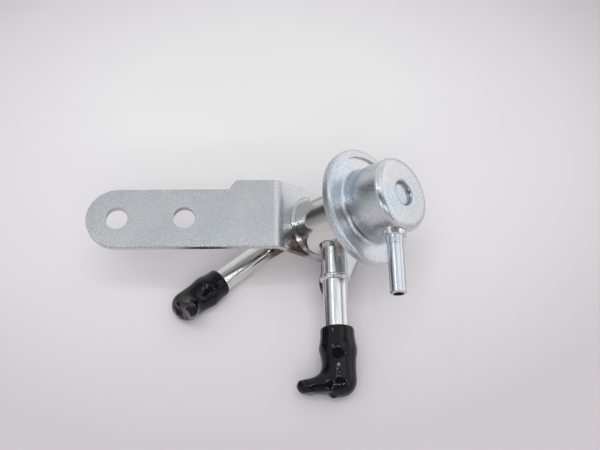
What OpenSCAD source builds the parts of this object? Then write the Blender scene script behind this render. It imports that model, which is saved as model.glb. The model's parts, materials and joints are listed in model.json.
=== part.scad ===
// Fuel pressure regulator on a bent two-hole bracket, with caps on both fuel pipes.
// Working frame: origin where the regulator axis meets the front of the bracket's tab,
// +Z along the axis towards the spring cover, +Y across the bracket, +X along the tab.
// The finished part is turned to the pose in which it lies on a table, +Z up.

/* [Bracket] */
// Thickness of the sheet
sheet_t = 2.3; // [1.6:0.1:3]
// Width of the arm
arm_w = 19.8; // [17:0.1:23]
// Length of the arm from the bend
arm_len = 61.2; // [56:0.1:70]
// From the bend to the nearer bolt hole
hole_near = 30.3; // [24:0.1:36]
// Between the bolt holes
hole_pitch = 21.2; // [18:0.1:24]
// Diameter of the bolt holes
hole_d = 7; // [5:0.1:9]
// Extra width of the shoulder beside the bend
step_h = 3.2; // [1:0.1:5]
// From the bend to the step of the shoulder
step_at = 14; // [11:0.1:18]
// Angle between arm and tab
bend_deg = 43.5; // [38:0.5:48]
// Inner radius of the bend
bend_r = 3.2; // [2:0.1:4]
// From the bend to the regulator axis
axis_at = 15.85; // [14:0.05:18]
// Regulator axis above the arm's lower edge
axis_up = 10.5; // [9:0.1:12]
// Lean of the tab's far edge
edge_lean = 29.5; // [26:0.1:33]
// Far edge from the regulator axis, at the height of the axis
edge_at = 26; // [24:0.1:28]
// Rounding along the front of the far edge
edge_roll = 2; // [0.5:0.1:2.5]
// Radius of the ear below the tab
ear_r = 5.7; // [4.5:0.1:7]
// Ear centre below the regulator axis
ear_down = 17.6; // [16:0.1:20]

/* [Housing and cover] */
// Outer diameter of the housing
housing_d = 19.4; // [18:0.1:21]
// Height of the housing up to its flange
housing_h = 21; // [20:0.1:23]
// Outer diameter of the folded rim
rim_d = 37.8; // [36:0.1:41]
// Width of the folded lip
lip_w = 2.6; // [1.5:0.1:3.5]
// Thickness of the housing sheet
housing_t = 1; // [0.7:0.05:1.3]
// Outer diameter of the cover
cover_d = 23.4; // [22.5:0.1:26]
// Height of the cover above the housing's flange
cover_h = 16.8; // [16:0.1:18]
// Thickness of the cover sheet
cover_t = 0.9; // [0.6:0.05:1.1]
// Diameter of the pressed recess
recess_d = 7; // [5:0.1:8]
// Depth of the pressed recess
recess_h = 1.3; // [1:0.1:2.4]

/* [Pipes] */
// Outer diameter of the inlet pipe
inlet_d = 8; // [7:0.1:8.6]
// Inlet pipe axis above the tab
inlet_z = 8.4; // [7:0.1:10]
// Inlet pipe end from the regulator axis
inlet_len = 49; // [46:0.1:52]
// Hose-stop bead from the regulator axis
stop_at = 19.9; // [18:0.1:24]
// Outer diameter of the return pipe
return_d = 7.5; // [6.6:0.1:7.8]
// Corner of the return pipe's bend behind the tab's front
return_corner = 19; // [17:0.1:22]
// Bend of the return pipe
return_deg = 67.5; // [62:0.1:72]
// Heading of the return pipe around the regulator axis
return_turn = 223.2; // [216:0.1:230]
// Radius of the return pipe's bend
return_r = 11; // [10:0.1:13]
// Return pipe end from its corner
return_len = 35.6; // [34:0.1:38]
// Wall of both fuel pipes
pipe_t = 1; // [0.7:0.05:1.2]
// Outer diameter of the vacuum nipple
nipple_d = 5; // [4:0.1:6]
// Vacuum nipple axis above the tab
nipple_z = 33; // [32:0.1:33.6]
// Nipple tip from the regulator axis
nipple_len = 30.8; // [26:0.1:34]
// Edge broken at the nipple's tip
nipple_edge = 0.3; // [0.1:0.05:0.6]
// Length of the nipple's flared root outside the cover
flare_len = 4.2; // [2.5:0.1:6]

/* [Caps] */
// Inlet cap mouth from the regulator axis
cap_mouth = 35.8; // [34:0.1:38]
// Length of the inlet cap
cap_len = 21.3; // [20:0.1:24]
// Outer radius of the inlet cap at its mouth
cap_r = 5.25; // [5.15:0.05:5.8]
// Swelling of the cap over the hidden bead
cap_swell = 0.6; // [0.2:0.05:0.9]
// Reach of the toe from the cap's axis
toe_reach = 12.9; // [10:0.1:14]
// Half the width of the toe
toe_r = 4.35; // [3.6:0.05:4.6]
// Radius of the toe's tip, seen from the side
toe_tip = 2.4; // [2:0.1:3]
// Slope of the toe's upper side
toe_lean = 5; // [2:0.5:10]
// Size of the return cap against the inlet cap
cap_ratio = 0.9; // [0.87:0.01:0.95]
// Turn of the inlet cap's toe
inlet_toe = 225; // [200:1:250]
// Turn of the return cap's toe
return_toe = 178; // [150:1:200]

/* [Valve] */
// Thickness of the diaphragm
diaphragm_t = 0.4; // [0.3:0.05:0.5]
// Height of the valve seat above the tab
seat_z = 15.5; // [15:0.1:16]
// Radius of the valve ball
ball_r = 1.6; // [1.2:0.05:1.7]
// Wire diameter of the main spring
wire_d = 1.6; // [1:0.05:2]
// Turns of the main spring
spring_turns = 4.5; // [3:0.5:5]

/* [Hidden] */
$fn = 72;

// Gap between neighbouring pieces, overlap inside one piece, reach of a cut past a face
fit = 0.02;
lap = 0.05;
past = 1;

// Bracket
outer_bend_r = bend_r + sheet_t;
bend_tangent = outer_bend_r * tan(bend_deg / 2);
arm_bottom = -axis_up;
arm_top = arm_bottom + arm_w;
arm_mid = (arm_bottom + arm_top) / 2;
tab_top = arm_top + step_h;
step_run = 2.2;
corner_r = 4;
edge_out = [cos(edge_lean), -sin(edge_lean)];
edge_shift = edge_at * cos(edge_lean);
tab_corner_y = tab_top - corner_r;
tab_corner_x = (edge_shift - corner_r - edge_out[1] * tab_corner_y) / edge_out[0];
ear_x = (edge_shift - ear_r + edge_out[1] * ear_down) / edge_out[0];
ear_neck = 5;
edge_land = 0.3;
edge_round = min(edge_roll, sheet_t - edge_land);

// Housing, crimped rim and cover
housing_r = housing_d / 2;
rim_r = rim_d / 2;
rim_round = 0.9;
flange_top = housing_h + housing_t;
diaphragm_z = flange_top + fit;
cover_z = diaphragm_z + diaphragm_t + fit;
lip_z = cover_z + cover_t + fit;
lip_t = 0.8;
rim_top = lip_z + lip_t;
sheet_r = rim_r - housing_t - fit;
cover_r = cover_d / 2;
cover_top = housing_h + cover_h;
cover_round = 2.2;
cover_foot = 1.1;
shoulder_r = 1.6;
recess_lip = min(1, recess_h * 0.75);
recess_root = min(0.4, recess_h - recess_lip);
bump_z = cover_top - cover_t - recess_h;

// Pipes
inlet_r = inlet_d / 2;
return_or = return_d / 2;
nipple_r = nipple_d / 2;
nipple_t = 0.9;
nipple_bore = nipple_r - nipple_t;
flare_h = 0.45;
root_r = nipple_r + flare_h;
bead_h = 0.9;
bead_r = 1.05;
return_tangent = return_r * tan(return_deg / 2);
return_drop = return_corner - return_tangent;
return_run = return_len - return_tangent;
bend_ease = 0.05;
bend_lap = 0.3;
braze_w = 0.9;
nipple_collar = 1.2;

// Caps: sizes of the inlet cap, which the return cap takes times cap_ratio
cap_bead = 7;
cap_round = 4.9;
cap_widen = 0.17;
cap_body_r = cap_r + cap_widen;
swell_w = 2.7;
mouth_round = 0.7;
toe_back = 3.5;
toe_at = cap_len - toe_back;
toe_from = 3;
toe_run = toe_reach - toe_tip;
toe_root = toe_run * tan(toe_lean) + toe_tip / cos(toe_lean);
drip_r = 1.7;
drip_h = 0.4;
drip_at = 1.7;
return_mouth = return_len - (inlet_len - cap_mouth) * cap_ratio;

// Valve
holder_t = 1.6;
holder_r = 8;
stem_r = 4.4;
stem_gap = 1.5;
stem_z = seat_z + stem_gap;
rivet_r = 2.5;
rivet_head_r = 3.6;
rivet_head_t = 0.6;
move_gap = 0.05;
holder_z = diaphragm_z - move_gap - holder_t;
plate_r = 8.3;
ridge_gap = 0.2;
plate_t = 0.8;
plate_rim = 1.8;
plate_z = cover_z - fit + move_gap;
coil_gap = 0.2;
pilot_gap = 0.3;
seat_r = plate_r;
seat_t = 0.9;
seat_top = bump_z - fit;
coil_r = plate_r - plate_t - wire_d / 2 - coil_gap;
coil_low = plate_z + plate_t + wire_d / 2 + fit;
coil_high = seat_top - seat_t - wire_d / 2 - fit;
seat_gap = 0.03;
disc_low = seat_z + seat_gap;
boss_gap = 0.1;
disc_boss = 0.67;
disc_t = 0.35;
disc_r = 4.05;
clip_r = stem_r + move_gap;
clip_t = 0.4;

// Pose on the table: the plane under the inlet cap's end, the lower of the return cap's end
// and swelling, and the lower end of the tab's far edge, each taken as a ring that may be rounded
function unit(v) = v / norm(v);
function across(v, a) = unit(v - (v * a) * a);
function touch(up, ring) = ring[0] - ring[2] * across(up, ring[1]) - ring[3] * up;
function lower(up, a, b) = up * touch(up, a) < up * touch(up, b) ? touch(up, a) : touch(up, b);
function facing(v) = v[2] < 0 ? -v : v;
function plane(a, b, c) = facing(unit(cross(b - a, c - a)));
function settle(up, n) = n == 0 ? up
    : settle(plane(touch(up, inlet_ring), lower(up, return_ring, swell_ring),
                   lower(up, tab_ring, ear_ring)), n - 1);
function reach(d, ring) = d * ring[0] + ring[2] * sqrt(max(0, 1 - pow(d * ring[1], 2))) + ring[3];

return_dir = [sin(return_deg) * cos(return_turn), sin(return_deg) * sin(return_turn), -cos(return_deg)];
return_point = [0, 0, -return_corner];
return_cap_end = return_mouth + (cap_len - cap_round) * cap_ratio;
inlet_ring = [[0, -(cap_mouth + cap_len - cap_round), inlet_z], [0, 1, 0], cap_body_r - cap_round, cap_round];
return_ring = [return_point + return_cap_end * return_dir, return_dir,
               (cap_body_r - cap_round) * cap_ratio, cap_round * cap_ratio];
swell_round = swell_w * swell_w / cap_swell / 2;
swell_ring = [return_point + (return_mouth + cap_bead * cap_ratio) * return_dir, return_dir,
              (cap_radius(cap_bead) - swell_round) * cap_ratio, swell_round * cap_ratio];
drip_ring = [[drip_at * cos(inlet_toe), -(cap_mouth + cap_len + drip_h - drip_r),
              inlet_z + drip_at * sin(inlet_toe)], [0, 1, 0], 0, drip_r];
tab_ring = [[tab_corner_x, tab_corner_y, -sheet_t], [0, 0, 1], corner_r, 0];
ear_ring = [[ear_x, -ear_down, -sheet_t], [0, 0, 1], ear_r, 0];
arm_dir = [cos(bend_deg), 0, sin(bend_deg)];
arm_out = [-sin(bend_deg), 0, cos(bend_deg)];
arm_end = [-axis_at, arm_mid, 0] - (arm_len - arm_w / 2) * arm_dir;
cover_ring = [[0, 0, cover_top - cover_round], [0, 0, 1], cover_r - cover_round, cover_round];
rim_ring = [[0, 0, rim_top - rim_round], [0, 0, 1], rim_r - rim_round, rim_round];
arm_ring = [arm_end, arm_out, arm_w / 2, 0];
arm_back_ring = [arm_end - sheet_t * arm_out, arm_out, arm_w / 2, 0];
rings = [inlet_ring, drip_ring, return_ring, cover_ring, rim_ring, arm_ring, arm_back_ring, tab_ring];

first_up = unit([-0.66, 0.33, 0.67]);
settle_steps = 12;
up = settle(first_up, settle_steps);
right = across(arm_dir, up);
back = cross(up, right);
floor_at = up * touch(up, inlet_ring);
function middle(d) = (max([for (r = rings) reach(d, r)]) - max([for (r = rings) reach(-d, r)])) / 2;
pose = [[right[0], right[1], right[2], -middle(right)],
        [back[0], back[1], back[2], -middle(back)],
        [up[0], up[1], up[2], -floor_at],
        [0, 0, 0, 1]];

module on_table() {
    multmatrix(pose) children();
}

module arm_frame() {
    translate([-axis_at, 0, 0]) rotate([0, -bend_deg, 0]) children();
}

module radial(z) {
    translate([0, 0, z]) rotate([90, 0, 0]) children();
}

module return_heading() {
    rotate([0, 0, return_turn]) children();
}

// Frame at the corner of the return pipe, +Z along its free end
module return_frame() {
    return_heading() translate(return_point) rotate([0, 180 - return_deg, 0]) children();
}

module ring(inner, outer, low, high) {
    translate([0, 0, low]) difference() {
        cylinder(r = outer, h = high - low);
        translate([0, 0, -past]) cylinder(r = inner, h = high - low + 2 * past);
    }
}

module bead(at, pipe_r) {
    translate([0, 0, at]) rotate_extrude() translate([pipe_r + bead_h - bead_r, 0]) circle(r = bead_r);
}

// Points of a quarter round about c, from angle a to angle b
function arc(c, r, a, b, n = 6) =
    [for (i = [0:n]) let (t = a + (b - a) * i / n) c + r * [cos(t), sin(t)]];

// Bracket
module arm_outline() {
    difference() {
        union() {
            translate([-arm_len + arm_w / 2, arm_bottom])
                square([arm_len - arm_w / 2 - bend_tangent + lap, arm_w]);
            translate([-arm_len + arm_w / 2, arm_mid]) circle(d = arm_w);
            polygon([[lap - bend_tangent, arm_mid], [lap - bend_tangent, tab_top], [-step_at, tab_top],
                     [-step_at - step_run, arm_top], [-step_at - step_run, arm_mid]]);
        }
        for (x = [hole_near, hole_near + hole_pitch]) translate([-x, arm_mid]) circle(d = hole_d);
    }
}

module tab_outline() {
    difference() {
        union() {
            polygon([[bend_tangent - axis_at, arm_bottom], [bend_tangent - axis_at, tab_top],
                     [tab_corner_x, tab_top], [tab_corner_x, tab_corner_y] + corner_r * edge_out,
                     [ear_x, -ear_down] + ear_r * edge_out, [ear_x, -ear_down],
                     [ear_neck, arm_bottom - ear_neck], [ear_neck, arm_bottom]]);
            translate([tab_corner_x, tab_corner_y]) circle(r = corner_r);
            translate([ear_x, -ear_down]) circle(r = ear_r);
        }
        circle(r = return_or + fit);
    }
}

// What the rounding takes off the front of the far edge
module edge_cut() {
    span = tab_top + ear_down + ear_r;
    translate([edge_at, 0, 0]) rotate([0, 0, -edge_lean]) translate([lap - edge_round, 0, lap - edge_round])
        difference() {
            translate([0, -span, 0]) cube([2 * edge_round, 2 * span, 2 * edge_round]);
            rotate([90, 0, 0]) cylinder(r = edge_round, h = 2 * span + 2 * past, center = true);
        }
}

module bracket() {
    color("LightSteelBlue") {
        difference() {
            translate([0, 0, -sheet_t]) linear_extrude(sheet_t) tab_outline();
            edge_cut();
        }
        arm_frame() translate([0, 0, -sheet_t]) linear_extrude(sheet_t) arm_outline();
        translate([bend_tangent - axis_at, arm_bottom, -outer_bend_r]) rotate([-90, -90, 0])
            rotate_extrude(angle = -bend_deg) translate([bend_r, 0]) square([sheet_t, tab_top - arm_bottom]);
    }
}

// Housing: base, wall, flared shoulder, flange and folded rim in one profile
module fuel_housing() {
    inner = housing_r - housing_t;
    shoulder = housing_r + shoulder_r;
    color("Silver") difference() {
        rotate_extrude() polygon(concat(
            [[return_or + fit, fit], [housing_r, fit]],
            arc([shoulder, housing_h - shoulder_r], shoulder_r, 180, 90),
            arc([rim_r - rim_round, housing_h + rim_round], rim_round, -90, 0),
            arc([rim_r - rim_round, rim_top - rim_round], rim_round, 0, 90),
            [[rim_r - lip_w, rim_top], [rim_r - lip_w, lip_z], [rim_r - housing_t, lip_z],
             [rim_r - housing_t, flange_top]],
            arc([shoulder, housing_h - shoulder_r], shoulder_r + housing_t, 90, 180),
            [[inner, housing_t], [return_or + fit, housing_t]]));
        radial(inlet_z) translate([0, 0, inner - 2 * past])
            cylinder(r = inlet_r + fit, h = housing_t + 4 * past);
    }
}

module spring_cover() {
    wall = cover_r - cover_t;
    bump = recess_d / 2 + cover_t;
    foot = cover_r + cover_foot;
    color("Gainsboro") difference() {
        rotate_extrude() polygon(concat(
            [[sheet_r, cover_z], [sheet_r, cover_z + cover_t]],
            arc([foot, cover_z + cover_t + cover_foot], cover_foot, -90, -180),
            arc([cover_r - cover_round, cover_top - cover_round], cover_round, 0, 90),
            arc([recess_d / 2 + recess_lip, cover_top - recess_lip], recess_lip, 90, 180),
            arc([recess_d / 2 - recess_root, cover_top - recess_h + recess_root], recess_root, 0, -90, 4),
            [[0, cover_top - recess_h], [0, bump_z], [bump, bump_z], [bump, cover_top - cover_t]],
            arc([cover_r - cover_round, cover_top - cover_round], cover_round - cover_t, 90, 0),
            [[wall, cover_z]]));
        radial(nipple_z) translate([0, 0, wall - 2 * past])
            cylinder(r = root_r + fit, h = cover_t + 4 * past);
    }
}

// Diaphragm with one rolled ridge between the spring plate and the cover's wall
module diaphragm() {
    wall = cover_r - cover_t;
    ridge_at = (plate_r + wall) / 2;
    ridge_r = (wall - plate_r) / 2 - diaphragm_t - ridge_gap;
    color("DimGray") rotate_extrude() translate([0, diaphragm_z]) polygon(concat(
        [[rivet_r + move_gap, 0]],
        arc([ridge_at, 0], ridge_r, 180, 0, 10),
        [[sheet_r, 0], [sheet_r, diaphragm_t]],
        arc([ridge_at, 0], ridge_r + diaphragm_t, asin(diaphragm_t / (ridge_r + diaphragm_t)),
            180 - asin(diaphragm_t / (ridge_r + diaphragm_t)), 10),
        [[rivet_r + move_gap, diaphragm_t]]));
}

// Moving valve
module spring_plate() {
    color("Khaki") {
        ring(rivet_r + fit, plate_r, plate_z, plate_z + plate_t);
        ring(plate_r - plate_t, plate_r, plate_z + plate_t, plate_z + plate_t + plate_rim);
    }
}

module valve_holder() {
    top = plate_z + plate_t + fit;
    socket_top = stem_z + 2 * ball_r + past / 2;
    color("Goldenrod") difference() {
        union() {
            translate([0, 0, stem_z]) cylinder(r = stem_r, h = holder_z - stem_z);
            translate([0, 0, holder_z]) cylinder(r = holder_r, h = holder_t);
            translate([0, 0, diaphragm_z - move_gap]) cylinder(r = rivet_r, h = top - diaphragm_z + move_gap);
            translate([0, 0, top]) cylinder(r1 = rivet_head_r, r2 = rivet_r, h = rivet_head_t);
        }
        translate([0, 0, stem_z - past]) cylinder(r = ball_r + fit, h = socket_top - stem_z + past);
    }
}

module valve_ball() {
    color("LightGrey") translate([0, 0, disc_low + disc_boss + disc_t + fit + ball_r]) sphere(r = ball_r);
}

module valve_disc() {
    color("DarkGrey") translate([0, 0, disc_low]) {
        cylinder(r = return_or - boss_gap, h = disc_boss);
        translate([0, 0, disc_boss]) cylinder(r = disc_r, h = disc_t);
    }
}

module disc_retainer() {
    lip_low = disc_low + disc_boss - fit - clip_t;
    color("Peru") {
        ring(return_or + move_gap, clip_r + clip_t, lip_low, lip_low + clip_t);
        ring(clip_r, clip_r + clip_t, lip_low + clip_t, stem_z + past);
    }
}

// Main spring: a round wire swept along a helix
module main_spring() {
    steps = 20;
    sides = 8;
    count = round(spring_turns * steps);
    rise = (coil_high - coil_low) / count;
    wire_r = wire_d / 2;
    points = [for (i = [0:count]) for (k = [0:sides - 1])
        let (a = 360 * i / steps, b = 360 * k / sides, q = coil_r + wire_r * cos(b))
        [q * cos(a), q * sin(a), coil_low + i * rise + wire_r * sin(b)]];
    sides_faces = [for (i = [0:count - 1]) for (k = [0:sides - 1])
        let (m = (k + 1) % sides)
        [i * sides + k, i * sides + m, (i + 1) * sides + m, (i + 1) * sides + k]];
    first = [for (k = [sides - 1:-1:0]) k];
    last = [for (k = [0:sides - 1]) count * sides + k];
    color("SlateGray") polyhedron(points, concat(sides_faces, [first, last]), convexity = 8);
}

module spring_seat() {
    color("Khaki") {
        translate([0, 0, seat_top - seat_t]) cylinder(r = seat_r, h = seat_t);
        translate([0, 0, seat_top - seat_t - past]) cylinder(r = coil_r - wire_d / 2 - pilot_gap, h = past);
    }
}

// Pipes
module inlet_pipe() {
    start = housing_r - housing_t - past / 2;
    color("WhiteSmoke") radial(inlet_z) difference() {
        union() {
            translate([0, 0, start]) cylinder(r = inlet_r, h = inlet_len - start);
            bead(stop_at, inlet_r);
            bead(cap_mouth + cap_bead, inlet_r);
        }
        translate([0, 0, start - past]) cylinder(r = inlet_r - pipe_t, h = inlet_len - start + 2 * past);
    }
}

// Straight, bend and straight of the return pipe, longer by extra at both ends
module return_sweep(r, extra = 0) {
    return_heading() {
        translate([0, 0, -return_drop - bend_lap])
            cylinder(r = r, h = return_drop + bend_lap + seat_z + extra);
        translate([return_r, 0, -return_drop]) rotate([-90, 0, 180])
            rotate_extrude(angle = return_deg) translate([return_r, 0]) circle(r = r - bend_ease);
    }
    return_frame() translate([0, 0, return_tangent - bend_lap])
        cylinder(r = r, h = return_run + bend_lap + extra);
}

module return_pipe() {
    color("WhiteSmoke") difference() {
        union() {
            return_sweep(return_or);
            return_frame() bead(return_mouth + cap_bead * cap_ratio, return_or);
        }
        return_sweep(return_or - pipe_t, past);
    }
}

module vacuum_nipple() {
    start = cover_r - cover_t - past / 2;
    root = cover_r + nipple_collar;
    flare = cover_r + flare_len;
    color("WhiteSmoke") radial(nipple_z) difference() {
        rotate_extrude() polygon([[0, start], [root_r, start], [root_r, root], [nipple_r, flare],
                                  [nipple_r, nipple_len - nipple_edge],
                                  [nipple_r - nipple_edge, nipple_len], [0, nipple_len]]);
        translate([0, 0, start - past]) cylinder(r = nipple_bore, h = nipple_len - start + 2 * past);
    }
}

// Caps: a sleeve with a closed rounded end and a drip of vinyl on it, swollen over the bead,
// and a toe to pull it by
function cap_radius(s) = cap_r + (cap_body_r - cap_r) * min(1, s / toe_at)
    + cap_swell * exp(-pow((s - cap_bead) / swell_w, 2));

// Toe along +X: a blunt tongue, cut to a wedge with a level sole and a round tip
module cap_toe(size) {
    toe_steps = 10;
    intersection() {
        rotate([0, 90, 0]) rotate_extrude() polygon(size * concat(
            [[0, 0], [toe_r, 0]],
            [for (i = [0:toe_steps]) let (a = 90 * i / toe_steps)
                [toe_r * cos(a), toe_from + (toe_reach - toe_from) * sin(a)]]));
        rotate([90, 0, 0]) linear_extrude(2 * size * toe_r + past, center = true) polygon(size * concat(
            [[0, -toe_root]], arc([toe_run, 0], toe_tip, toe_lean - 90, 90, 12), [[0, toe_tip]]));
    }
}

module pipe_cap(size, pipe_r, depth) {
    straight = cap_len - cap_round;
    waves = 16;
    color("#202022") difference() {
        union() {
            rotate_extrude() polygon(size * concat(
                [[0, 0]],
                arc([cap_r - mouth_round, mouth_round], mouth_round, -90, 0, 4),
                [for (i = [1:waves]) let (s = mouth_round + (straight - mouth_round) * i / waves)
                    [i == waves ? cap_body_r : cap_radius(s), s]],
                arc([cap_body_r - cap_round, straight], cap_round, 0, 90),
                [[0, cap_len]]));
            translate(size * [drip_at, 0, cap_len + drip_h - drip_r]) sphere(r = size * drip_r);
            translate([0, 0, size * toe_at]) cap_toe(size);
        }
        translate([0, 0, -past]) cylinder(r = pipe_r + fit, h = depth + past + fit);
        translate([0, 0, size * cap_bead]) rotate_extrude()
            translate([pipe_r + bead_h - bead_r, 0]) circle(r = bead_r + fit);
    }
}

module inlet_cap() {
    radial(inlet_z) translate([0, 0, cap_mouth]) rotate([0, 0, inlet_toe])
        pipe_cap(1, inlet_r, inlet_len - cap_mouth);
}

module return_cap() {
    return_frame() translate([0, 0, return_mouth]) rotate([0, 0, return_toe])
        pipe_cap(cap_ratio, return_or, return_len - return_mouth);
}

// Brazed seams
module housing_braze() {
    color("Silver") translate([0, 0, fit]) difference() {
        cylinder(r1 = housing_r + braze_w, r2 = housing_r + braze_w / 3, h = braze_w);
        translate([0, 0, -past]) cylinder(r = housing_r + fit, h = braze_w + 2 * past);
    }
}

module inlet_braze() {
    color("Silver") difference() {
        radial(inlet_z) translate([0, 0, housing_r - past])
            cylinder(r1 = inlet_r + braze_w, r2 = inlet_r + braze_w / 3, h = past + braze_w / 2);
        cylinder(r = housing_r + fit, h = housing_h);
        radial(inlet_z) cylinder(r = inlet_r + fit, h = inlet_len);
    }
}

module return_braze() {
    color("Silver") translate([0, 0, -sheet_t - fit - braze_w]) difference() {
        cylinder(r1 = return_or + braze_w / 3, r2 = return_or + braze_w, h = braze_w);
        translate([0, 0, -past]) cylinder(r = return_or + fit, h = braze_w + 2 * past);
    }
}

module nipple_braze() {
    color("Silver") difference() {
        radial(nipple_z) translate([0, 0, cover_r - past])
            cylinder(r1 = root_r + nipple_collar, r2 = root_r + nipple_collar / 2, h = past + nipple_collar);
        cylinder(r = cover_r + fit, h = cover_top + past);
        radial(nipple_z) cylinder(r = root_r + fit, h = nipple_len);
    }
}

on_table() bracket();
on_table() fuel_housing();
on_table() spring_cover();
on_table() diaphragm();
on_table() spring_plate();
on_table() valve_holder();
on_table() valve_ball();
on_table() valve_disc();
on_table() disc_retainer();
on_table() main_spring();
on_table() spring_seat();
on_table() inlet_pipe();
on_table() return_pipe();
on_table() vacuum_nipple();
on_table() inlet_cap();
on_table() return_cap();
on_table() housing_braze();
on_table() inlet_braze();
on_table() return_braze();
on_table() nipple_braze();
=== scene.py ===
"""Looks of a fuel pressure regulator on a bent bracket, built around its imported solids."""
import json
import math

import bmesh
import bpy
from mathutils import Matrix, Vector


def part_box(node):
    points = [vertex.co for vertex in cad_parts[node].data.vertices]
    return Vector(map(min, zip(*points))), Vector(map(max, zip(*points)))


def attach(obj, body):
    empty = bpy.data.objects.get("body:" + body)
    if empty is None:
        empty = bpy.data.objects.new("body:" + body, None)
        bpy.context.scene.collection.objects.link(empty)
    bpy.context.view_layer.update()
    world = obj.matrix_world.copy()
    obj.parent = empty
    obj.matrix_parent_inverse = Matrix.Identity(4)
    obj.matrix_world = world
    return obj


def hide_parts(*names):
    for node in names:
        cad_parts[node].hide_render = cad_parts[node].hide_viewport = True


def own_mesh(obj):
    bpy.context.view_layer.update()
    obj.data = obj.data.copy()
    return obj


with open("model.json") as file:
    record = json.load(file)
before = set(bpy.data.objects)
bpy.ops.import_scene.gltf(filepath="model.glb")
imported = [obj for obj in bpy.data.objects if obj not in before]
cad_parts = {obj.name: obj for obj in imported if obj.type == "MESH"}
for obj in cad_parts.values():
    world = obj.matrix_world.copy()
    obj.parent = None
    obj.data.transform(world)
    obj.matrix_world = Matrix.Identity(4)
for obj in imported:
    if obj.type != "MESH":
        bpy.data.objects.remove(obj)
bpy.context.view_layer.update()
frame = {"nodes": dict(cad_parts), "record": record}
nodes = frame["nodes"]
record = frame["record"]
valve_lift = record["behaviour"]["joints"][0]
mounts = {mount["name"]: mount for mount in record["mounts"]}
scene = bpy.context.scene
MM = 0.001
ACROSS = Vector((1.0, 0.0, 0.0))
UP = Vector((0.0, 0.0, 1.0))

# Regulator axis, through the middle of the spring seat
AXIS = Vector(valve_lift["axis"]).normalized()
seat_low, seat_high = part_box("spring_seat")
AXIS_POINT = (Vector(seat_low) + Vector(seat_high)) / 2

# Camera
PHOTO_WIDTH = 600
FOCAL_PIXELS = 858.67
SENSOR = 36.0
CLIP = (0.01, 20.0)
EYE = Vector((10.76, -176.37, 224.26)) * MM
EYE_RIGHT = Vector((0.9995, -0.0297, -0.0103))
EYE_FORWARD = Vector((0.0131, 0.6909, -0.7228))

forward = EYE_FORWARD.normalized()
right = (EYE_RIGHT - EYE_RIGHT.dot(forward) * forward).normalized()
above = right.cross(forward)
camera_data = bpy.data.cameras.new("photo_camera")
camera_data.sensor_width = SENSOR
camera_data.lens = FOCAL_PIXELS / PHOTO_WIDTH * SENSOR
camera_data.clip_start, camera_data.clip_end = CLIP
camera = bpy.data.objects.new("photo_camera", camera_data)
scene.collection.objects.link(camera)
camera.matrix_world = Matrix.Translation(EYE) @ Matrix((right, above, -forward)).transposed().to_4x4()
scene.camera = camera
scene.view_settings.view_transform = "Standard"


# Small helpers for node trees
class Tree:
    """A node tree under way, with the coordinates that its patterns follow."""

    def __init__(self, owner, coordinates):
        owner.use_nodes = True
        self.tree = owner.node_tree
        self.place = self.add("ShaderNodeTexCoord").outputs[coordinates]

    def add(self, kind, **settings):
        made = self.tree.nodes.new(kind)
        for key, value in settings.items():
            setattr(made, key, value)
        return made

    def join(self, a, b):
        self.tree.links.new(a, b)

    def feed(self, socket, value):
        """Links a socket, or gives it a fixed value."""
        if isinstance(value, bpy.types.NodeSocket):
            self.join(value, socket)
        else:
            socket.default_value = value

    def number(self, operation, *values):
        """Arithmetic on sockets and fixed numbers."""
        made = self.add("ShaderNodeMath", operation=operation)
        for socket, value in zip(made.inputs, values):
            self.feed(socket, value)
        return made.outputs[0]

    def vector(self, operation, *values):
        """Arithmetic on vectors; gives a plain number where the operation does."""
        made = self.add("ShaderNodeVectorMath", operation=operation)
        for socket, value in zip(made.inputs, values):
            self.feed(socket, value)
        return made.outputs["Value" if operation in ("DOT_PRODUCT", "LENGTH", "DISTANCE") else "Vector"]

    def ramp(self, value, *stops):
        """Colours at places from 0 to 1."""
        made = self.add("ShaderNodeValToRGB")
        band = made.color_ramp
        while len(band.elements) < len(stops):
            band.elements.new(0.5)
        for element, (at, colour) in zip(band.elements, stops):
            element.position = at
            element.color = (*colour, 1)
        self.join(value, made.inputs["Fac"])
        return made.outputs["Color"]

    def spread(self, value, low, high, a=0.3, b=0.7, ease="LINEAR"):
        """Value between low and high as the pattern goes from a to b."""
        made = self.add("ShaderNodeMapRange", interpolation_type=ease)
        made.inputs["From Min"].default_value = a
        made.inputs["From Max"].default_value = b
        made.inputs["To Min"].default_value = low
        made.inputs["To Max"].default_value = high
        self.join(value, made.inputs["Value"])
        return made.outputs["Result"]

    def mix(self, share, a, b, blend="MIX"):
        """Colour a towards colour b by share."""
        made = self.add("ShaderNodeMix", data_type="RGBA", blend_type=blend)
        self.feed(made.inputs["Factor"], share)
        for socket, colour in ((made.inputs["A"], a), (made.inputs["B"], b)):
            self.feed(socket, (*colour, 1) if isinstance(colour, tuple) else colour)
        return made.outputs["Result"]


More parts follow.
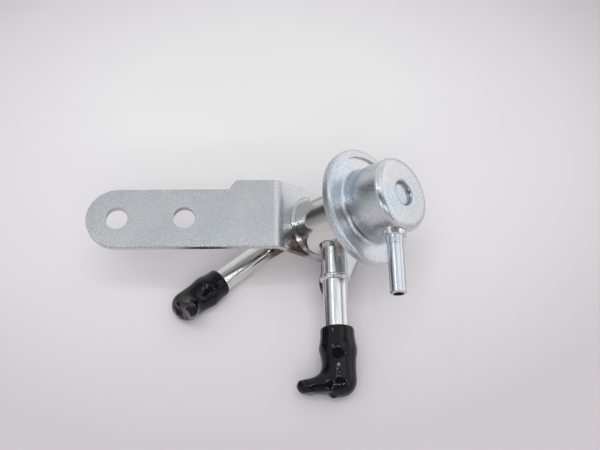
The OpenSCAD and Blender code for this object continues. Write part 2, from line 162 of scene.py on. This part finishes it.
class Finish(Tree):
    """A material under way, on the object's own coordinates."""

    def __init__(self, name):
        self.material = bpy.data.materials.new(name)
        super().__init__(self.material, "Object")
        self.shader = self.tree.nodes["Principled BSDF"]

    def noise(self, scale, detail=3.0, rough=0.5):
        """Cloudy pattern with about one patch in every 1/scale metres."""
        pattern = self.add("ShaderNodeTexNoise")
        pattern.inputs["Scale"].default_value = scale
        pattern.inputs["Detail"].default_value = detail
        pattern.inputs["Roughness"].default_value = rough
        self.join(self.place, pattern.inputs["Vector"])
        return pattern.outputs["Fac"]

    def sum(self, a, b, weight=1.0):
        """a + weight * b"""
        return self.number("MULTIPLY_ADD", b, weight, a)

    def raise_surface(self, height, depth):
        """Relief of the given depth in metres."""
        made = self.add("ShaderNodeBump")
        made.inputs["Strength"].default_value = 1.0
        made.inputs["Distance"].default_value = depth
        self.join(height, made.inputs["Height"])
        self.join(made.outputs["Normal"], self.shader.inputs["Normal"])

    def from_axis(self):
        """Distance from the regulator's axis."""
        arm = self.vector("CROSS_PRODUCT", self.vector("SUBTRACT", self.place, AXIS_POINT), AXIS)
        return self.vector("LENGTH", arm)

    def along_axis(self):
        """Height along the regulator's axis, from the middle of the spring seat."""
        return self.vector("DOT_PRODUCT", self.vector("SUBTRACT", self.place, AXIS_POINT), AXIS)

    def near(self, point, inner, outer, ragged=0.0):
        """1 inside the inner distance from a point, 0 outside the outer one."""
        away = self.vector("DISTANCE", self.place, point)
        if ragged:
            away = self.sum(away, self.noise(STAIN_EDGE, 3.0, 0.6), ragged)
        return self.spread(away, 1.0, 0.0, inner, outer)

    def line(self, measure, at, reach, share):
        """The given share where a measure has a value, 0 where it is further off than reach."""
        gap = self.number("ABSOLUTE", self.number("SUBTRACT", measure, at))
        return self.spread(gap, share, 0.0, LINE_CORE * reach, reach)

    def set(self, **values):
        for key, value in values.items():
            self.feed(self.shader.inputs[key.replace("_", " ")], value)
        return self.material


# Patterns, in patches per metre
ZINC_CLOUD = 90
ZINC_GRAIN = 3800
ZINC_FINE = 7000
ROLLED_GRAIN = 3000
DRAWN_CLOUD = 160
TUBE_CLOUD = 140
TUBE_MARKS = 1800
VINYL_WAVES = 240
VINYL_SPECKS = 2400
INNER_CLOUD = 300
INNER_MARKS = 2500
CLOTH_CLOUD = 900
CLOTH_THREADS = 600
STAIN_EDGE = 500
LINE_CORE = 0.3

# Depths of relief
ROLLED_RELIEF = 0.03 * MM
TUBE_RELIEF = 0.01 * MM
VINYL_RELIEF = 0.02 * MM
INNER_RELIEF = 0.012 * MM
CLOTH_RELIEF = 0.03 * MM

WHITE = (1.0, 1.0, 1.0)
ROLLED_PIT = (0.62, 0.63, 0.65)
VINYL_BLACK = (0.003, 0.003, 0.0036)
CLOTH_DARK = (0.035, 0.035, 0.036)
CLOTH_PALE = (0.07, 0.068, 0.066)


def plated_sheet(name, cool, warm, rough, relief, brown_patches=(), shade_corners=False, pit=0.74):
    """Zinc plate over drawn or punched sheet: cloudy tint, fine crystalline grain, stains and a painted
    reflection, painted shade in corners.
    """
    f = Finish(name)
    cloud = f.noise(ZINC_CLOUD, 2.0)
    grain = f.noise(ZINC_GRAIN, 2.0, 0.6)
    fine = f.noise(ZINC_FINE, 1.0)
    tint = f.ramp(cloud, (0.35, cool), (0.65, warm))
    speck = f.ramp(grain, (0.4, (pit, pit, pit)), (0.56, WHITE))
    colour = f.mix(1.0, tint, speck, "MULTIPLY")
    # Brown patches: heat tint by brazed joints, and on the tab a painted reflection of the dark flange
    # underside
    for brown_patch in brown_patches:
        colour = f.mix(f.near(*brown_patch), colour, HEAT_TINT_AND_REFLECTION)
    # Painted shade: dark lines round the recess and at the foot of the cover
    if shade_corners:
        foot_shade = f.number("MULTIPLY", f.line(f.along_axis(), *FOOT_SHADE_LINE), f.near(*FOOT_SHADE_PLACE))
        colour = f.mix(f.line(f.from_axis(), *RECESS_SHADE_LINE), colour, CORNER_SHADE_TINT)
        colour = f.mix(foot_shade, colour, CORNER_SHADE_TINT)
    f.raise_surface(f.sum(grain, fine, 0.5), relief)
    spread = f.spread(f.sum(grain, cloud, 0.6), *rough, 0.5, 1.1)
    return f.set(Base_Color=colour, Metallic=1.0, Roughness=spread)


def crimped_sheet(name, bright, cool, warm):
    """Bright drawn housing whose folded rim is grainy from the crimping rolls."""
    f = Finish(name)
    rim = f.spread(f.from_axis(), 0.0, 1.0, RIM_FROM, RIM_FROM + RIM_FADE)
    grain = f.noise(ROLLED_GRAIN, 2.0, 0.6)
    pits = f.ramp(grain, (0.4, ROLLED_PIT), (0.58, WHITE))
    rolled = f.mix(1.0, f.ramp(f.noise(ZINC_CLOUD, 2.0), (0.35, cool), (0.65, warm)), pits, "MULTIPLY")
    drawn = f.ramp(f.noise(DRAWN_CLOUD, 2.0), (0.35, bright[0]), (0.65, bright[1]))
    f.raise_surface(f.number("MULTIPLY", grain, f.spread(rim, 0.2, 1.0, 0.0, 1.0)), ROLLED_RELIEF)
    spread = f.spread(rim, DRAWN_ROUGH, ROLLED_ROUGH, 0.0, 1.0)
    return f.set(Base_Color=f.mix(rim, drawn, rolled), Metallic=1.0, Roughness=spread)


def bright_tube(name, colour, shade, rough, brown_patches=()):
    """Bright plated tube with faint drawing marks."""
    f = Finish(name)
    marks = f.noise(TUBE_MARKS, 2.0, 0.6)
    tint = f.ramp(f.noise(TUBE_CLOUD, 2.0), (0.35, colour), (0.68, shade))
    for brown_patch in brown_patches:
        tint = f.mix(f.near(*brown_patch), tint, HEAT_TINT_AND_REFLECTION)
    f.raise_surface(marks, TUBE_RELIEF)
    return f.set(Base_Color=tint, Metallic=1.0, Roughness=f.spread(marks, *rough))


def soft_vinyl(name, dust):
    """Dipped black vinyl: glossy, with slow waves and a little dust."""
    f = Finish(name)
    specks = f.noise(VINYL_SPECKS, 3.0, 0.7)
    colour = f.ramp(specks, (0.55, VINYL_BLACK), (0.85, dust))
    f.raise_surface(f.noise(VINYL_WAVES, 1.0), VINYL_RELIEF)
    return f.set(Base_Color=colour, Roughness=f.spread(specks, 0.05, 0.07), Specular_IOR_Level=0.26)


def inner_metal(name, colour, shade, rough):
    """Turned, pressed or drawn metal inside the regulator."""
    f = Finish(name)
    marks = f.noise(INNER_MARKS, 3.0, 0.6)
    tint = f.ramp(f.noise(INNER_CLOUD, 2.0), (0.3, colour), (0.7, shade))
    f.raise_surface(marks, INNER_RELIEF)
    return f.set(Base_Color=tint, Metallic=1.0, Roughness=f.spread(marks, *rough))


def diaphragm_cloth(name):
    """Rubber on cloth: crossed threads that show through the skin."""
    f = Finish(name)
    threads = []
    for direction in ("X", "Y"):
        wave = f.add("ShaderNodeTexWave", wave_type="BANDS", bands_direction=direction)
        wave.inputs["Scale"].default_value = CLOTH_THREADS
        f.join(f.place, wave.inputs["Vector"])
        threads.append(wave.outputs["Fac"])
    weave = f.sum(*threads)
    colour = f.ramp(f.noise(CLOTH_CLOUD), (0.3, CLOTH_DARK), (0.7, CLOTH_PALE))
    f.raise_surface(weave, CLOTH_RELIEF)
    return f.set(Base_Color=colour, Roughness=f.spread(weave, 0.55, 0.75, 0.4, 1.6))


# Dark brown places: heat tint that brazing has left, and on the tab also a painted reflection of the dark
# flange underside: middle, inner and outer reach, raggedness
HEAT_TINT_AND_REFLECTION = (0.165, 0.116, 0.105)
TAB_STAIN_AND_REFLECTION = (Vector((14.0, 8.0, 20.5)) * MM, 4.5 * MM, 6 * MM, 1.2 * MM)
EAR_STAIN = (Vector((20.5, 3.0, 8.5)) * MM, 6 * MM, 9 * MM, 1.5 * MM)
PIPE_STAIN = (Vector((8.0, 17.0, 8.5)) * MM, 4 * MM, 7 * MM, 1.5 * MM)

# Painted shade in the corners of the cover, round its recess and at its foot: place, reach, share
CORNER_SHADE_TINT = (0.14, 0.145, 0.16)
RECESS_SHADE_LINE = (3.55 * MM, 0.85 * MM, 0.52)
FOOT_SHADE_LINE = (-10.75 * MM, 0.6 * MM, 0.85)
FOOT_SHADE_PLACE = (Vector((32.0, 1.8, 37.0)) * MM, 3.5 * MM, 8 * MM)

# Folded rim of the housing, by distance from the axis, and how rough it and the drawn wall are
RIM_FROM = 12.5 * MM
RIM_FADE = 1 * MM
DRAWN_ROUGH = 0.085
ROLLED_ROUGH = 0.34

BLUE = ((0.70, 0.785, 0.855), (0.845, 0.835, 0.84))
SATIN = ((0.57, 0.59, 0.615), (0.62, 0.625, 0.635))
DRAWN = ((0.70, 0.69, 0.67), (0.72, 0.71, 0.68))
SEAM = ((0.62, 0.62, 0.61), (0.68, 0.67, 0.65))
finishes = {
    "bracket": plated_sheet("satin_zinc", *SATIN, (0.22, 0.32), 0.008 * MM, (TAB_STAIN_AND_REFLECTION, EAR_STAIN), pit=0.8),
    "fuel_housing": crimped_sheet("crimped_zinc", DRAWN, *BLUE),
    # The cover's finish carries painted shade round its recess and at its foot
    "spring_cover": plated_sheet("blue_zinc", *BLUE, (0.24, 0.36), 0.009 * MM, shade_corners=True, pit=0.66),
    "nipple_braze": plated_sheet("blue_zinc_collar", *BLUE, (0.2, 0.32), 0.009 * MM),
    "inlet_pipe": bright_tube("bright_inlet_tube", (0.69, 0.70, 0.725), (0.65, 0.655, 0.66), (0.13, 0.24)),
    "return_pipe": bright_tube("bright_return_tube", (0.74, 0.74, 0.71), (0.70, 0.70, 0.66), (0.07, 0.13),
                               (PIPE_STAIN,)),
    "vacuum_nipple": bright_tube("bright_nipple_tube", (0.64, 0.67, 0.71), (0.60, 0.625, 0.66), (0.16, 0.28)),
    "inlet_cap": soft_vinyl("inlet_cap_vinyl", (0.02, 0.02, 0.021)),
    "return_cap": soft_vinyl("return_cap_vinyl", (0.04, 0.038, 0.039)),
    "diaphragm": diaphragm_cloth("diaphragm_cloth"),
    "spring_plate": inner_metal("pressed_plate", (0.58, 0.58, 0.57), (0.64, 0.63, 0.60), (0.28, 0.42)),
    "spring_seat": inner_metal("pressed_seat", (0.56, 0.56, 0.56), (0.62, 0.61, 0.59), (0.3, 0.45)),
    "valve_disc": inner_metal("lapped_disc", (0.60, 0.60, 0.60), (0.66, 0.66, 0.65), (0.15, 0.25)),
    "valve_ball": inner_metal("polished_ball", (0.72, 0.72, 0.73), (0.76, 0.76, 0.76), (0.05, 0.1)),
    "main_spring": inner_metal("spring_wire", (0.30, 0.30, 0.32), (0.38, 0.37, 0.36), (0.3, 0.42)),
    "valve_holder": inner_metal("turned_brass", (0.70, 0.54, 0.27), (0.78, 0.62, 0.34), (0.2, 0.32)),
    "disc_retainer": inner_metal("pressed_brass", (0.66, 0.50, 0.25), (0.74, 0.58, 0.31), (0.25, 0.36)),
}
for seam in ("housing_braze", "inlet_braze", "return_braze"):
    finishes[seam] = plated_sheet(seam + "_zinc", *SEAM, (0.14, 0.22), 0.006 * MM)

for name, material in finishes.items():
    nodes[name].data.materials.clear()
    nodes[name].data.materials.append(material)

# Pieces that take over from plain solids
SEW_GAP = 0.001 * MM


def merged_copy(node):
    """The node's surface with its loose triangles sewn together."""
    shape = bmesh.new()
    shape.from_mesh(nodes[node].data)
    bmesh.ops.remove_doubles(shape, verts=shape.verts, dist=SEW_GAP)
    return shape


def finished(shape, name, node):
    """Turns a shape into the piece that stands for a node."""
    mesh = bpy.data.meshes.new(name)
    for face in shape.faces:
        face.smooth = True
        face.material_index = 0
    shape.to_mesh(mesh)
    shape.free()
    mesh.materials.append(finishes[node])
    piece = bpy.data.objects.new(name, mesh)
    scene.collection.objects.link(piece)
    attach(piece, "regulator")
    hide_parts(node)
    return piece


def settle_shape(piece):
    """Applies the piece's modifiers."""
    settled = piece.evaluated_get(bpy.context.evaluated_depsgraph_get())
    mesh = bpy.data.meshes.new_from_object(settled)
    piece.modifiers.clear()
    piece.data = mesh


# Bracket: the punched edges are a little rounded
BRACKET_EDGE = 0.25 * MM
EDGE_ANGLE = math.radians(40)
FLAT_ANGLE = math.radians(0.5)
shape = merged_copy("bracket")
bmesh.ops.dissolve_limit(shape, angle_limit=FLAT_ANGLE, verts=shape.verts, edges=shape.edges)
sharp = [e for e in shape.edges if e.is_manifold and e.calc_face_angle() > EDGE_ANGLE]
bmesh.ops.bevel(shape, geom=sharp, offset=BRACKET_EDGE, offset_type="OFFSET", affect="EDGES",
                segments=3, profile=0.5, material=-1, clamp_overlap=True)
bracket = finished(shape, "bent_bracket", "bracket")
bracket.modifiers.new("even_shading", "WEIGHTED_NORMAL")

# Caps: dipped boots with soft transitions from leg to toe
BOOT_VOXEL = 0.25 * MM
EASE_PASSES = 24
EASE_FACTOR = 0.5
CROTCH_BACK = 3.6 * MM
CROTCH_OUT = 5.2 * MM
CROTCH_REACH = 7 * MM
CROTCH_PASSES = ((1.0, 240), (0.75, 160), (0.5, 80))
LEG_KEPT = 4.4 * MM


def dipped_boot(node, port, name):
    """The cap as one soft skin, with the corner between leg and toe filled in."""
    piece = finished(merged_copy(node), name, node)
    skin = piece.modifiers.new("skin", "REMESH")
    skin.mode = "VOXEL"
    skin.voxel_size = BOOT_VOXEL
    ease = piece.modifiers.new("ease", "SMOOTH")
    ease.factor = EASE_FACTOR
    ease.iterations = EASE_PASSES
    settle_shape(piece)
    end = Vector(mounts[port]["pos_m"])
    along = Vector(mounts[port]["axis"]).normalized()

    def off_axis(point):
        return (point - end) - (point - end).dot(along) * along

    tip = max((v.co for v in piece.data.vertices), key=lambda co: off_axis(co).length)
    toe = off_axis(tip).normalized()
    toe_at = (tip - end).dot(along)
    crotch = end + along * (toe_at - CROTCH_BACK) + toe * CROTCH_OUT
    shape = bmesh.new()
    shape.from_mesh(piece.data)
    for reach, passes in CROTCH_PASSES:
        near = [v for v in shape.verts
                if (v.co - crotch).length < reach * CROTCH_REACH and off_axis(v.co).length > LEG_KEPT]
        for _ in range(passes):
            bmesh.ops.smooth_vert(shape, verts=near, factor=EASE_FACTOR,
                                  use_axis_x=True, use_axis_y=True, use_axis_z=True)
    for face in shape.faces:
        face.smooth = True
    shape.to_mesh(piece.data)
    shape.free()


dipped_boot("inlet_cap", "inlet_port", "inlet_boot")
dipped_boot("return_cap", "return_port", "return_boot")

# Spring and diaphragm: pieces of their own, with the diaphragm cut at the crown of its ridge into a clamped
# rim and a centre
RIDGE_AT = 9.55 * MM
FOLD_ANGLE = math.radians(35)


def rises_with_valve(piece):
    """Gives the piece a mesh of its own."""
    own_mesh(piece)


def diaphragm_half(name, inside):
    """The diaphragm inside or outside the crown of its ridge, with the cut closed."""
    shape = merged_copy("diaphragm")
    other = []
    for face in shape.faces:
        radius = (face.calc_center_median() - AXIS_POINT).cross(AXIS).length
        if (radius < RIDGE_AT) != inside:
            other.append(face)
    bmesh.ops.delete(shape, geom=other, context="FACES")
    bmesh.ops.bridge_loops(shape, edges=[e for e in shape.edges if e.is_boundary])
    bmesh.ops.recalc_face_normals(shape, faces=shape.faces)
    piece = finished(shape, name, "diaphragm")
    piece.data.set_sharp_from_angle(angle=FOLD_ANGLE)
    return piece


rises_with_valve(finished(merged_copy("main_spring"), "wound_spring", "main_spring"))
diaphragm_half("diaphragm_rim", False)
rises_with_valve(diaphragm_half("diaphragm_centre", True))

# Floor: pale paper with a painted light falloff: a little greyer and pinker away from the part, paler again
# far out
FLOOR_HALF = 3.0
FLOOR_MIDDLE = (0.0, -0.09, 0.0)
FLOOR_SCALE = (0.72, 0.78, 1.0)
FLOOR_ROUGH = 0.9
FLOOR_TINTS_AND_PAINTED_FALLOFF = ((0.0, (0.86, 0.835, 0.845)), (0.35, (0.6, 0.57, 0.585)), (0.8, (0.55, 0.51, 0.535)),
               (0.87, (0.565, 0.528, 0.552)), (0.91, (0.73, 0.695, 0.717)), (0.96, (0.825, 0.812, 0.812)))
floor_mesh = bpy.data.meshes.new("paper_floor")
shape = bmesh.new()
bmesh.ops.create_grid(shape, x_segments=1, y_segments=1, size=FLOOR_HALF)
shape.to_mesh(floor_mesh)
shape.free()
floor = bpy.data.objects.new("paper_floor", floor_mesh)
scene.collection.objects.link(floor)
paper = Finish("pale_paper")
centred = paper.add("ShaderNodeMapping")
centred.inputs["Location"].default_value = FLOOR_MIDDLE
centred.inputs["Scale"].default_value = FLOOR_SCALE
# Painted light falloff: the paper is painted darker away from the part and paler again far out
painted_falloff = paper.add("ShaderNodeTexGradient", gradient_type="SPHERICAL")
paper.join(paper.place, centred.inputs["Vector"])
paper.join(centred.outputs["Vector"], painted_falloff.inputs["Vector"])
paper_tint_and_falloff = paper.ramp(painted_falloff.outputs["Fac"], *FLOOR_TINTS_AND_PAINTED_FALLOFF)
floor_mesh.materials.append(paper.set(Base_Color=paper_tint_and_falloff, Roughness=FLOOR_ROUGH))

# Room: levels of the walls once round from the left, a grey ceiling, and a dim oval where the camera stands
WALLS = ((0.0, 0.28), (0.056, 0.5), (0.111, 0.66), (0.194, 0.38), (0.25, 0.22), (0.278, 0.2), (0.333, 0.24),
         (0.361, 0.5), (0.403, 1.3), (0.444, 1.0), (0.5, 1.05), (0.542, 1.3), (0.583, 1.2), (0.667, 1.0),
         (0.75, 0.95), (0.833, 0.78), (0.889, 0.62), (0.925, 0.1), (0.965, 0.07), (1.0, 0.28))
CEILING = (0.73, 0.75, 0.78)
CEILING_FROM = 0.3
CEILING_TO = 0.65
STAND = Vector((0.0, -0.57, 0.82)).normalized()
STAND_UP = STAND.cross(ACROSS)
STAND_WIDE = 0.85
STAND_HIGH = 0.36
STAND_EDGE = 0.75
STAND_TINT = (0.08, 0.08, 0.08)
FAR_WALL = (0.5, 0.485, 0.49)
ROOM_SHARE = 0.6

world = bpy.data.worlds.new("soft_room")
scene.world = world
sky = Tree(world, "Generated")
around = sky.add("ShaderNodeTexGradient", gradient_type="RADIAL")
sky.join(sky.place, around.inputs["Vector"])
walls = sky.ramp(around.outputs["Fac"], *((at, (level, level, level)) for at, level in WALLS))
height = sky.vector("DOT_PRODUCT", sky.place, UP)
ceiling = sky.spread(height, 0.0, 1.0, CEILING_FROM, CEILING_TO, "SMOOTHSTEP")
room = sky.mix(ceiling, walls, CEILING)

# The dim oval lies on the camera's side of the room only
oval = sky.add("ShaderNodeCombineXYZ")
sky.join(sky.vector("DOT_PRODUCT", sky.place, ACROSS / STAND_WIDE), oval.inputs["X"])
sky.join(sky.vector("DOT_PRODUCT", sky.place, STAND_UP / STAND_HIGH), oval.inputs["Y"])
off_middle = sky.vector("LENGTH", oval.outputs["Vector"])
inside = sky.spread(off_middle, 1.0, 0.0, STAND_EDGE, 1.0, "SMOOTHSTEP")
in_front = sky.number("GREATER_THAN", sky.vector("DOT_PRODUCT", sky.place, STAND), 0.0)
room = sky.mix(sky.number("MULTIPLY", inside, in_front), room, STAND_TINT)

# The camera sees a plain far wall, and dull surfaces take a smaller share of the room's light
path = sky.add("ShaderNodeLightPath")
background = sky.tree.nodes["Background"]
sky.join(sky.mix(path.outputs["Is Camera Ray"], room, FAR_WALL), background.inputs["Color"])
sky.join(sky.spread(path.outputs["Is Diffuse Ray"], 1.0, ROOM_SHARE, 0.0, 1.0), background.inputs["Strength"])

# Lamps: strips round the dim oval, a fill from it, a broad soft one at the right, a small one at the left
STRIP_SIZE = (0.28, 0.02)
STRIP_POWER = 0.55
HIGH_POWER = 0.3
FRAME_WIDE = 1.0
FRAME_HIGH = 0.45
FRAME_STEP = 0.5
FILL_SIZE = (1.0, 0.7)
FILL_POWER = 7.5
SIDE_PLACE = Vector((0.46, -0.08, 0.88))
SIDE_SIZE = (0.6, 0.6)
SIDE_POWER = 0.55
CORNER_PLACE = Vector((-0.5, 0.0, 0.87))
CORNER_SIZE = (0.12, 0.06)
CORNER_POWER = 0.2


def lamp(name, place, size, power, along=UP):
    """Rectangular lamp that faces the object; its first side runs along the given direction."""
    data = bpy.data.lights.new(name, "AREA")
    data.shape = "RECTANGLE"
    data.size, data.size_y = size
    data.energy = power
    made = bpy.data.objects.new(name, data)
    scene.collection.objects.link(made)
    back = place.normalized()
    side = (along - along.dot(back) * back).normalized()
    turn = Matrix((side, back.cross(side), back)).transposed().to_4x4()
    made.matrix_world = Matrix.Translation(place) @ turn
    return made


for side in (-1, 1):
    lamp("upright_strip", STAND + side * FRAME_WIDE * ACROSS, STRIP_SIZE, STRIP_POWER, STAND_UP)
for step in (-1, 0, 1):
    place = STAND + step * FRAME_STEP * ACROSS - FRAME_HIGH * STAND_UP
    lamp("low_strip", place, STRIP_SIZE, STRIP_POWER, ACROSS)
for step in (-1, 0):
    place = STAND + step * FRAME_STEP * ACROSS + FRAME_HIGH * STAND_UP
    lamp("high_strip", place, STRIP_SIZE, HIGH_POWER, ACROSS)
lamp("fill_lamp", STAND, FILL_SIZE, FILL_POWER).visible_glossy = False
lamp("side_lamp", SIDE_PLACE, SIDE_SIZE, SIDE_POWER)
lamp("corner_lamp", CORNER_PLACE, CORNER_SIZE, CORNER_POWER)
